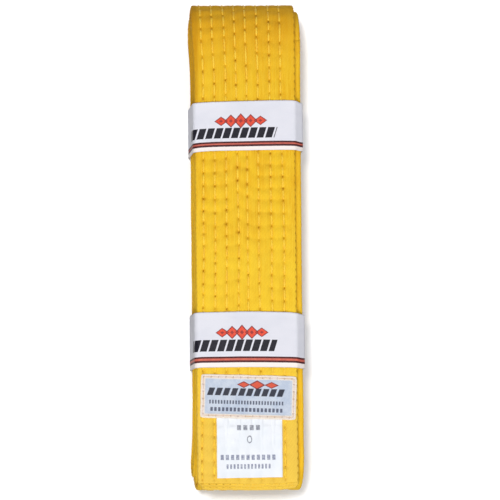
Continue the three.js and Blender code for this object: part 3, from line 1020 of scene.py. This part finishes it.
class Material(Nodes):
    """A material with one principled surface."""

    def __init__(self, name):
        self.material = bpy.data.materials.new(name)
        self.material.use_nodes = True
        super().__init__(self.material.node_tree)
        self.tree.nodes.clear()
        output = self.tree.nodes.new("ShaderNodeOutputMaterial")
        self.surface = self.tree.nodes.new("ShaderNodeBsdfPrincipled")
        self.tree.links.new(self.surface.outputs[0], output.inputs[0])

    def uv(self):
        return self.split(self.node("ShaderNodeUVMap", {}, uv_map="cloth"))[:2]

    def position(self):
        """The point itself, in millimetres."""
        return [v * 1000.0 for v in self.split(self.node("ShaderNodeTexCoord", {}, "Object"))]

    def noise(self, x, y, z=0.0, scale=1.0, detail=2.0, rough=0.5):
        vector = self.node("ShaderNodeCombineXYZ", {0: x, 1: y, 2: z})
        inputs = {"Vector": vector, "Scale": scale, "Detail": detail, "Roughness": rough}
        return self.node("ShaderNodeTexNoise", inputs, "Fac")

    def attribute(self, name):
        return self.node("ShaderNodeAttribute", {}, "Fac", attribute_name=name)

    def mix(self, factor, first, second, kind="MIX"):
        inputs = {0: factor, 6: first, 7: second}
        return self.node("ShaderNodeMix", inputs, 2, data_type="RGBA", blend_type=kind)

    def tint(self, base, mask, amount, color):
        """Lays color over base where mask is one, as strongly as amount."""
        return self.mix(mask * amount, base, color)

    def bump(self, height, depth, strength):
        """depth is in mm."""
        inputs = {"Strength": strength, "Distance": depth * MM, "Height": height}
        return self.node("ShaderNodeBump", inputs)

    def done(self, color, rough, normal=None, **extra):
        inputs = {"Base Color": color, "Roughness": rough}
        if normal is not None:
            inputs["Normal"] = normal
        inputs.update({key.replace("_", " "): value for key, value in extra.items()})
        for key, value in inputs.items():
            self.put(self.surface.inputs[key], value)
        return self.material


def bar_row(run, height, ends, rows, pitch, bar, softness):
    """A row of bars: run goes along the row and height up it; ends and rows are the row's
    limits, bar the limits of a bar within its pitch; softness is of bars, rows and ends."""
    phase = ((run - ends[0]) / pitch).math("FRACT") * pitch
    cells = phase.between(*bar, softness[0]) * height.between(*rows, softness[1])
    return cells * run.between(*ends, softness[2])


def lozenge_distance(x, y, center, half_size):
    """Zero at the lozenge's middle, one on its outline."""
    return (abs((x - center[0]) * (1 / half_size[0]))
            + abs((y - center[1]) * (1 / half_size[1])))


# ---- cloth and thread materials ------------------------------------------------------------------


def cotton():
    mat = Material("cotton_drill")
    u, v = mat.uv()
    # warp ribs run along the belt, slightly aslant; each rib breaks into short floats
    drift = (mat.noise(u, v * 0.25, 0, scale=0.35, detail=2) - 0.5) * 0.5
    rib = ((u + drift) + v * 0.30).wave(0.52)
    floats = (v + u * 1.9).wave(0.74)
    weave = rib * 0.72 + (rib * floats) * 0.28
    fuzz = mat.noise(u * 1.0, v * 0.55, 0, scale=5.5, detail=3, rough=0.6)
    warp = mat.noise(u * 2.3, v * 0.09, 3.0, detail=3, rough=0.65)
    patchy = mat.noise(u, v * 0.6, 7.0, scale=0.13, detail=3, rough=0.55)
    slub = mat.noise(u * 2.6, v * 0.16, 9.0, detail=1).step(0.66, 0.80)
    painted_shade = mat.attribute("painted_shade").min(1.5)
    # two yellows in broad clouds, then paler warp yarns and slubs
    base = mat.mix(patchy.step(0.34, 0.66), (0.815, 0.440, 0.009, 1), (0.925, 0.590, 0.019, 1))
    base = mat.tint(base, warp.step(0.36, 0.64), 0.80, (0.94, 0.63, 0.038, 1))
    base = mat.tint(base, slub, 0.30, (0.95, 0.66, 0.10, 1))
    # painted light makes the cloth paler towards the free end, painted shade darker over the upper
    # fold
    base = mat.tint(base, 1.0 - v.step(76.0, 116.0), 0.46, (0.96, 0.70, 0.045, 1))
    base = mat.tint(base, 1.0 - v.step(12.0, 62.0), 0.46, (0.84, 0.60, 0.155, 1))
    base = mat.tint(base, v.between(160.0, 215.0, 12.0), 0.54, (0.70, 0.31, 0.004, 1))
    # painted shade between the yarns, pale fuzz on top
    base = mat.tint(base, 1.0 - weave, 0.34, (0.66, 0.285, 0.004, 1))
    base = mat.tint(base, fuzz.step(0.40, 0.70), 0.16, (0.98, 0.70, 0.12, 1))
    # painted shade on the left edges of the stack next to the upper fold
    x, y, _ = mat.position()
    side = (1.0 - x.step(-19.3, -17.9)) * y.step(46.0, 58.0)
    base = mat.tint(base, side, 0.52, (0.50, 0.205, 0.002, 1))
    # painted shade in the furrows, darker still in the needle holes
    base = mat.mix(painted_shade.step(0.08, 1.0), base, (0.50, 0.235, 0.005, 1))
    base = mat.mix(painted_shade.step(0.80, 1.40), base, (0.36, 0.155, 0.004, 1))
    normal = mat.bump(weave * 0.75 + fuzz * 0.5, depth=0.10, strength=0.95)
    return mat.done(
        base, fuzz.scaled(0.16, 0.78), normal, Sheen_Weight=0.12, Sheen_Roughness=0.45,
        Sheen_Tint=(1.0, 0.78, 0.28, 1), Specular_IOR_Level=0.12,
    )


def twisted(name, light, dark, fibre_highlight, ply):
    """Two ply sewing thread, from the girth and length coordinates of the tubes."""
    mat = Material(name)
    u, v = mat.uv()
    twist = (u * 1.0 + v * (2.1 / ply)).wave(1.05)
    fibre = mat.noise(u * 3.0 + v * 5.0, v * 0.8, 0, scale=2.2, detail=2)
    tone = mat.noise(v, 0.0, 5.0, scale=0.21, detail=2)
    deeper = (0.93 * light[0], 0.79 * light[1], 0.50 * light[2], 1)
    base = mat.mix(tone.step(0.36, 0.64), light, deeper)
    # painted shade in the groove between the two plies
    base = mat.tint(base, 1.0 - twist.step(0.05, 0.55), 0.55, dark)
    # painted highlights on stray fibres
    base = mat.tint(base, fibre.step(0.35, 0.7), 0.18, fibre_highlight)
    normal = mat.bump(twist * 0.8 + fibre * 0.4, depth=0.06, strength=0.8)
    return mat.done(
        base, fibre.scaled(0.2, 0.48), normal,
        Sheen_Weight=0.10, Sheen_Roughness=0.4, Specular_IOR_Level=0.35,
    )


def solid_weave(name, light, dark, size, rough):
    """A plain weave worked out from the place itself, for pieces without coordinates."""
    mat = Material(name)
    x, y, z = mat.position()
    warp, weft = x.wave(size), y.wave(size * 1.2)
    fibre = mat.noise(x, y * 0.4, z, scale=1.6, detail=4, rough=0.6)
    over = (warp * weft.step(0.2, 0.8)).max(weft * (1.0 - weft.step(0.2, 0.8)))
    base = mat.mix(fibre.step(0.3, 0.7), dark, light)
    # painted shade where a yarn passes under
    base = mat.tint(base, 1.0 - over, 0.35, dark)
    normal = mat.bump(over + fibre * 0.7, depth=0.1, strength=0.8)
    return mat.done(base, fibre.scaled(0.15, rough), normal, Sheen_Weight=0.15)


def woven_label():
    mat = Material("woven_label")
    u, v = mat.uv()
    edge = (PATCH_HALF_W - abs(u)).min(PATCH_HALF_H - abs(v))
    hem = 1.0 - edge.step(1.50, 1.78)
    warp, weft = u.wave(0.24), v.wave(0.20)
    checker = (u + v * 1.2).wave(0.48)
    weave = warp * 0.45 + (weft * checker) * 0.55
    cloud = mat.noise(u, v, 1.0, scale=0.35, detail=3)
    speck = mat.noise(u, v, 4.0, scale=3.4, detail=2)
    # yarns wobble, so woven shapes have stepped, slightly ragged edges
    ragged_u = u + (mat.noise(u * 0.6, v * 3.0, 2.0, scale=2.0, detail=1) - 0.5) * 0.34
    ragged_v = v + (mat.noise(u * 3.0, v * 0.6, 6.0, scale=2.0, detail=1) - 0.5) * 0.22
    # pale blue field, cream hem, painted shade in the needle pricks
    field = mat.mix(cloud.step(0.35, 0.65), lin(190, 202, 221), lin(206, 215, 229))
    field = mat.tint(field, speck.step(0.50, 0.75), 0.40, lin(236, 238, 246))
    cream = mat.mix(speck.step(0.35, 0.7), lin(238, 224, 210), lin(247, 238, 226))
    base = mat.mix(hem, field, cream)
    base = mat.tint(base, mat.attribute("painted_shade").step(0.12, 0.75), 0.80, lin(138, 104, 98))

    def bars(rows, left, pitch, share, slant, soft):
        run = ragged_u - (ragged_v - rows[0]) * slant
        bar = (0.12, pitch * share)
        return bar_row(run, ragged_v, (left, 13.2), rows, pitch, bar, (soft, soft, 0.03))

    large = bars((0.35, 3.15), -15.6, pitch=2.88, share=0.77, slant=0.34, soft=0.10)
    middle = bars((-2.80, -1.40), -14.7, pitch=1.08, share=0.66, slant=0.0, soft=0.08)
    low = bars((-5.50, -4.05), -14.2, pitch=1.44, share=0.72, slant=0.0, soft=0.08)
    # a row of three lozenges above the bars: middle u, half width, half height
    shapes, rims = None, None
    for center_u, half_w, half_h in ((-1.9, 2.5, 1.25), (3.1, 3.1, 1.75), (8.5, 2.7, 1.25)):
        distance = lozenge_distance(ragged_u, ragged_v, (center_u, 4.55), (half_w, half_h))
        shape = 1.0 - distance.step(0.93, 1.05)
        rim = shape * distance.step(0.70, 0.80)
        shapes = shapes.max(shape) if shapes else shape
        rims = rims.max(rim) if rims else rim
    base = mat.mix(shapes, base, lin(224, 92, 66))
    base = mat.tint(base, rims, 0.85, lin(92, 44, 62))
    base = mat.tint(base, large, 0.95, lin(22, 22, 42))
    base = mat.tint(base, middle.max(low), 0.85, lin(52, 56, 84))
    # painted shade between the yarns
    base = mat.mix((1.0 - weave) * 0.16, base, lin(120, 128, 150), "MULTIPLY")
    normal = mat.bump(weave + speck * 0.4, depth=0.05, strength=0.8)
    rough = speck.scaled(0.2, 0.52)
    return mat.done(base, rough, normal, Sheen_Weight=0.2, Specular_IOR_Level=0.3)


def satin():
    mat = Material("satin_ribbon")
    u, v = mat.uv()
    yarn = v.wave(0.16)
    streaks = mat.noise(u * 5.0, v * 0.3, 0, detail=3)
    cloud = mat.noise(u, v, 2.0, scale=0.16, detail=2)
    base = mat.mix(cloud.step(0.3, 0.7), lin(225, 230, 237), lin(232, 235, 241))
    base = mat.tint(base, streaks.step(0.45, 0.75), 0.12, lin(214, 222, 236))
    selvedge = abs(u).step(11.55, 11.75)
    plain = base = mat.tint(base, selvedge, 0.25, lin(222, 226, 232))
    # printed marks: two short rows of dashes, a ring, two long rows of dashes
    bleed = (mat.noise(u, v, 9.0, scale=2.6, detail=1) - 0.5) * 0.16
    print_u, print_v = u + bleed, v + bleed

    def dashes(middle, height, ends, pitch, share):
        rows = (middle - height / 2, middle + height / 2)
        bar = (0.08, pitch * share)
        return bar_row(print_u, print_v, ends, rows, pitch, bar, (0.07, 0.07, 0.02))

    ring = (print_u * (1 / 0.88)) ** 2.0 + ((print_v - 14.2) * (1 / 1.32)) ** 2.0
    ring = ring.math("SQRT").between(0.72, 1.10, 0.07)
    grey = ring.max(dashes(18.55, 1.9, (-4.7, 4.7), pitch=2.35, share=0.66))
    blue = dashes(7.55, 1.9, (-10.9, 10.2), pitch=1.92, share=0.66)
    blue = blue.max(dashes(4.2, 1.75, (-8.7, 8.2), pitch=1.30, share=0.62))
    fade = mat.noise(u, v, 12.0, scale=1.5, detail=2).step(0.3, 0.6).scaled(0.35, 0.60)
    base = mat.tint(base, grey, fade, lin(122, 125, 138))
    base = mat.tint(base, blue, fade, lin(118, 124, 150))
    # the print only faintly shows on the inside
    base = mat.mix(mat.attribute("outside").scaled(0.86, 0.14), plain, base)
    normal = mat.bump(yarn * 0.7 + streaks * 0.6, depth=0.02, strength=0.7)
    return mat.done(
        base, streaks.scaled(0.15, 0.34), normal,
        Sheen_Weight=0.1, Anisotropic=0.4, Specular_IOR_Level=0.4,
    )


def band_paper(name, stripe, bar_rows, bar_ends, chain_v, chain_half_h, chain_ends, tone):
    """Coated paper: a striped lower margin, a row of slanted bars and a chain of lozenges.
    tone scales how light the paper is."""
    mat = Material(name)
    u, v = mat.uv()
    fibre = mat.noise(u, v, 0, scale=2.2, detail=4, rough=0.6)
    cloud = mat.noise(u * 0.5, v, 3.0, scale=0.15, detail=2)

    def paper(*rgb):
        return lin(*(part * tone for part in rgb))

    base = mat.mix(cloud.step(0.3, 0.7), paper(219, 220, 230), paper(226, 226, 235))
    plain = base = mat.tint(base, fibre.step(0.4, 0.75), 0.20, paper(212, 214, 226))
    bleed = (mat.noise(u, v, 8.0, scale=3.0, detail=2) - 0.5) * 0.10
    print_v, print_u = v + bleed, u + bleed
    ink = mat.noise(u, v, 5.0, scale=1.1, detail=3)
    # a red stripe between two dark lines, and a warm margin below it
    low, high = stripe
    band = print_v.between(low, high, 0.05)
    lines = print_v.between(low, low + 0.74, 0.04).max(print_v.between(high - 0.66, high, 0.04))
    warm = (1.0 - print_v.step(low - 0.2, low + 0.1)) * v.step(0.05, 0.5)
    base = mat.tint(base, warm, 0.75, lin(255, 241, 232))
    red = mat.mix(ink.step(0.3, 0.7), lin(214, 104, 84), lin(192, 90, 78))
    base = mat.mix(band, base, red)
    maroon = mat.mix(ink.step(0.35, 0.65), lin(62, 22, 28), lin(86, 32, 34))
    base = mat.mix(lines, base, maroon)
    # slanted bars
    run = print_u - (print_v - bar_rows[0]) * 0.32
    softness = (0.05, 0.06, 0.03)
    bars = bar_row(run, print_v, bar_ends, bar_rows, 3.2, (0.20, 2.75), softness)
    black = mat.mix(ink.step(0.3, 0.7), lin(14, 14, 26), lin(28, 26, 40))
    base = mat.mix(bars, base, black)
    # a chain of lozenges, largest in the middle, each with a rim and an eye
    sizes = (0.62, 0.86, 1.0, 0.86, 0.62)
    cell = (chain_ends[1] - chain_ends[0]) / len(sizes)
    shapes, marks = None, None
    for k, size in enumerate(sizes):
        center = (chain_ends[0] + cell * (k + 0.5), chain_v)
        half_size = (cell * 0.68, chain_half_h * size)
        distance = lozenge_distance(print_u, print_v, center, half_size)
        shape = 1.0 - distance.step(0.97, 1.03)
        rim = shape * distance.step(0.80, 0.86)
        mark = rim.max((1.0 - distance.step(0.26, 0.32)) * 0.7)
        shapes = shapes.max(shape) if shapes else shape
        marks = marks.max(mark) if marks else mark
    orange = mat.mix(ink.step(0.3, 0.7), lin(232, 84, 58), lin(216, 68, 48))
    base = mat.mix(shapes, base, orange)
    base = mat.tint(base, marks, 0.88, lin(78, 32, 48))
    base = mat.mix(mat.attribute("outside").scaled(0.95, 0.05), plain, base)
    height = fibre + band.max(bars.max(shapes)) * 0.15
    return mat.done(
        base, fibre.scaled(0.14, 0.42), mat.bump(height, depth=0.012, strength=0.6),
        Specular_IOR_Level=0.22, Coat_Weight=0.04, Coat_Roughness=0.3,
    )


def dried_glue():
    mat = Material("dried_glue")
    x, y, z = mat.position()
    broad = mat.noise(x, y, z, scale=0.6, detail=3)
    fine = mat.noise(x, y, z, scale=3.0, detail=2)
    base = mat.mix(broad.step(0.35, 0.65), lin(222, 204, 150), lin(240, 230, 194))
    normal = mat.bump(broad + fine, depth=0.08, strength=0.7)
    return mat.done(base, fine.scaled(0.3, 0.3), normal, Specular_IOR_Level=0.5)


mat_cotton = cotton()
mat_thread = twisted(
    "belt_sewing_thread", light=(0.965, 0.665, 0.042, 1), dark=(0.74, 0.42, 0.012, 1),
    fibre_highlight=(1.0, 0.80, 0.20, 1), ply=1.15,
)
mat_patch_thread = twisted(
    "patch_sewing_thread", light=lin(240, 220, 212), dark=lin(176, 138, 134),
    fibre_highlight=(1, 1, 1, 1), ply=0.8,
)
mat_pad = solid_weave(
    "cotton_padding", light=lin(236, 227, 202), dark=lin(196, 182, 148), size=0.9, rough=0.85
)
mat_thread_flat = solid_weave(
    "hidden_sewing_thread", light=(0.94, 0.60, 0.06, 1), dark=(0.62, 0.29, 0.01, 1),
    size=0.35, rough=0.6,
)
mat_label = woven_label()
mat_satin = satin()
mat_upper = band_paper(
    "coated_paper_upper", stripe=(1.50, 3.40), bar_rows=(4.65, 8.55), bar_ends=(-29.2, 9.7),
    chain_v=11.1, chain_half_h=2.85, chain_ends=(-12.0, 6.4), tone=1.0,
)
mat_lower = band_paper(
    "coated_paper_lower", stripe=(1.80, 3.98), bar_rows=(5.95, 10.25), bar_ends=(-28.6, 8.9),
    chain_v=12.9, chain_half_h=2.85, chain_ends=(-12.2, 6.2), tone=0.98,
)
mat_glue = dried_glue()


def paint(obj, material):
    obj.data.materials.clear()
    obj.data.materials.append(material)


def finish_piece(obj, material, slot, *nodes):
    paint(obj, material)
    if nodes:
        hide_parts(*nodes)


def bend_with_end(obj):
    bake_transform(obj)


finish_piece(belt_front, mat_cotton, "belt_cotton", "belt_cover_end")
finish_piece(belt_wrap, mat_cotton, "belt_cotton")
finish_piece(belt_inner, mat_cotton, "belt_cotton", "belt_cover_wound")
bend_with_end(belt_front)
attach(belt_wrap, "wound_belt")
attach(belt_inner, "wound_belt")
for i in range(ROWS):
    finish_piece(front_rows[i], mat_thread, "belt_thread", f"needle_thread_end_{i + 1}")
    finish_piece(wrap_rows[i], mat_thread, "belt_thread", f"needle_thread_wound_{i + 1}")
    finish_piece(under_rows[i], mat_thread, "belt_thread", f"bobbin_thread_end_{i + 1}")
    bend_with_end(front_rows[i])
    bend_with_end(under_rows[i])
    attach(wrap_rows[i], "wound_belt")
finish_piece(seam_outer, mat_thread, "belt_thread", "end_seam_thread_outer")
finish_piece(seam_inner, mat_thread, "belt_thread", "end_seam_thread_inner")
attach(seam_outer, "belt_end")
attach(seam_inner, "belt_end")
finish_piece(end_core, mat_pad, "core_cotton", "belt_core_end")
bend_with_end(end_core)
finish_piece(wound_core, mat_pad, "core_cotton", "belt_core_wound")
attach(wound_core, "wound_belt")
for i, row in enumerate(inside_rows):
    finish_piece(row, mat_thread, "belt_thread", f"bobbin_thread_wound_{i + 1}")
    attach(row, "wound_belt")
finish_piece(patch, mat_label, "patch_weave", "woven_patch")
finish_piece(patch_thread, mat_patch_thread, "patch_thread", "patch_stitching")
bend_with_end(patch)
bend_with_end(patch_thread)
finish_piece(tab, mat_satin, "tab_satin", "size_tab")
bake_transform(tab)
finish_piece(upper_paper, mat_upper, "band_paper", "upper_band_paper")
finish_piece(lower_paper, mat_lower, "band_paper", "lower_band_paper")
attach(upper_paper, "upper_band")
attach(lower_paper, "lower_band")

for name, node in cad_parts.items():
    if "core" in name:
        paint(node, mat_pad)
    elif "glue" in name:
        paint(node, mat_glue)
    else:
        paint(node, mat_thread_flat)

# ---- floor, light and camera, in metres ------------------------------------------------------------
FLOOR_HALF = 9.0
FLOOR_Z = -5e-5
VIEW_WIDTH = 0.186
CAMERA_DISTANCE = 1.6
CAMERA_TARGET = Vector((0.3 * MM, -0.7 * MM, 27.6 * MM))
LEAN_X, LEAN_Y, ROLL = (math.radians(angle) for angle in (4.4, 3.7, 0.49))


def add_object(name, data):
    obj = bpy.data.objects.new(name, data)
    bpy.context.scene.collection.objects.link(obj)
    return obj


def pale_floor():
    """Brighter to the camera than in the light it throws back."""
    mat = Material("pale_floor")
    x, y, _ = mat.position()
    grain = mat.noise(x, y, 0, scale=0.02, detail=2)
    seen = mat.camera_ray()
    pale = mat.mix(grain, (0.93, 0.93, 0.93, 1), (0.95, 0.95, 0.95, 1))
    color = mat.mix(seen, (0.50, 0.50, 0.50, 1), pale)
    return mat.done(
        color, 0.85, Specular_IOR_Level=0.1,
        Emission_Color=(1, 1, 1, 1), Emission_Strength=seen * 0.11,
    )


floor_mesh = bpy.data.meshes.new("floor")
signs = ((-1, -1), (1, -1), (1, 1), (-1, 1))
corners = [(x * FLOOR_HALF, y * FLOOR_HALF, FLOOR_Z) for x, y in signs]
floor_mesh.from_pydata(corners, [], [(0, 1, 2, 3)])
floor = add_object("floor", floor_mesh)
paint(floor, pale_floor())

# the world is brighter overhead, and evenly bright to the camera
world = bpy.data.worlds.new("studio")
bpy.context.scene.world = world
world.use_nodes = True
sky = Nodes(world.node_tree)
height = sky.split(sky.node("ShaderNodeTexCoord", {}, "Generated"))[2]
climb_inputs = {"Value": height, "To Min": 0.22, "To Max": 0.62}
climb = sky.node("ShaderNodeMapRange", climb_inputs, "Result")
power_inputs = {0: sky.camera_ray(), 2: climb, 3: 1.05}
power = sky.node("ShaderNodeMix", power_inputs, data_type="FLOAT")
background = world.node_tree.nodes["Background"]
background.inputs[0].default_value = (0.98, 0.985, 1.0, 1)
sky.put(background.inputs[1], power)


def aim(obj, direction):
    """Points a light's back along direction."""
    obj.rotation_mode = "QUATERNION"
    obj.rotation_quaternion = direction.to_track_quat("Z", "Y")


def area_light(name, at, size, watts, color=(1, 1, 1)):
    data = bpy.data.lights.new(name, "AREA")
    data.shape = "DISK"
    data.size = size
    data.energy = watts
    data.color = color
    obj = add_object(name, data)
    obj.location = at
    aim(obj, Vector(at) - Vector((0, 0, 0.01)))
    return obj


def light_only(light, name, objects):
    """Limits a light to the given objects."""
    receivers = bpy.data.collections.new(name)
    for obj in objects:
        receivers.objects.link(obj)
    light.light_linking.receiver_collection = receivers


key = area_light("key_light", (-0.16, -0.42, 0.92), size=0.36, watts=5.1, color=(1.0, 0.99, 0.97))
area_light("fill_light", (0.0, -0.25, 2.4), size=1.5, watts=11.0)
# the key light is for the belt only; the table has a light of its own, from the upper left
meshes = [obj for obj in bpy.context.scene.objects if obj.type == "MESH" and obj is not floor]
light_only(key, "lit_by_key_light", [obj for obj in meshes if obj != floor])
table_data = bpy.data.lights.new("table_light", "SUN")
table_data.energy = 1.85
table_data.angle = math.radians(8.0)
table_light = add_object("table_light", table_data)
aim(table_light, Vector((-0.175, 0.105, 1.0)))
light_only(table_light, "lit_by_table_light", [floor])

cam_data = bpy.data.cameras.new("camera")
camera = add_object("camera", cam_data)
scene = bpy.context.scene
scene.camera = camera
cam_data.sensor_width = 36.0
cam_data.lens = 36.0 * CAMERA_DISTANCE / VIEW_WIDTH
cam_data.clip_start = 0.05
cam_data.clip_end = 50
back = Vector((-math.tan(LEAN_X), -math.tan(LEAN_Y), 1)).normalized()
up = Vector((math.sin(ROLL), math.cos(ROLL), 0))
up = (up - back * up.dot(back)).normalized()
camera.matrix_world = Matrix((up.cross(back), up, back)).transposed().to_4x4()
camera.location = CAMERA_TARGET + back * CAMERA_DISTANCE

scene.view_settings.view_transform = "Standard"
scene.view_settings.look = "None"
scene.view_settings.exposure = 0.0
scene.view_settings.gamma = 1.0

bpy.context.view_layer.update()
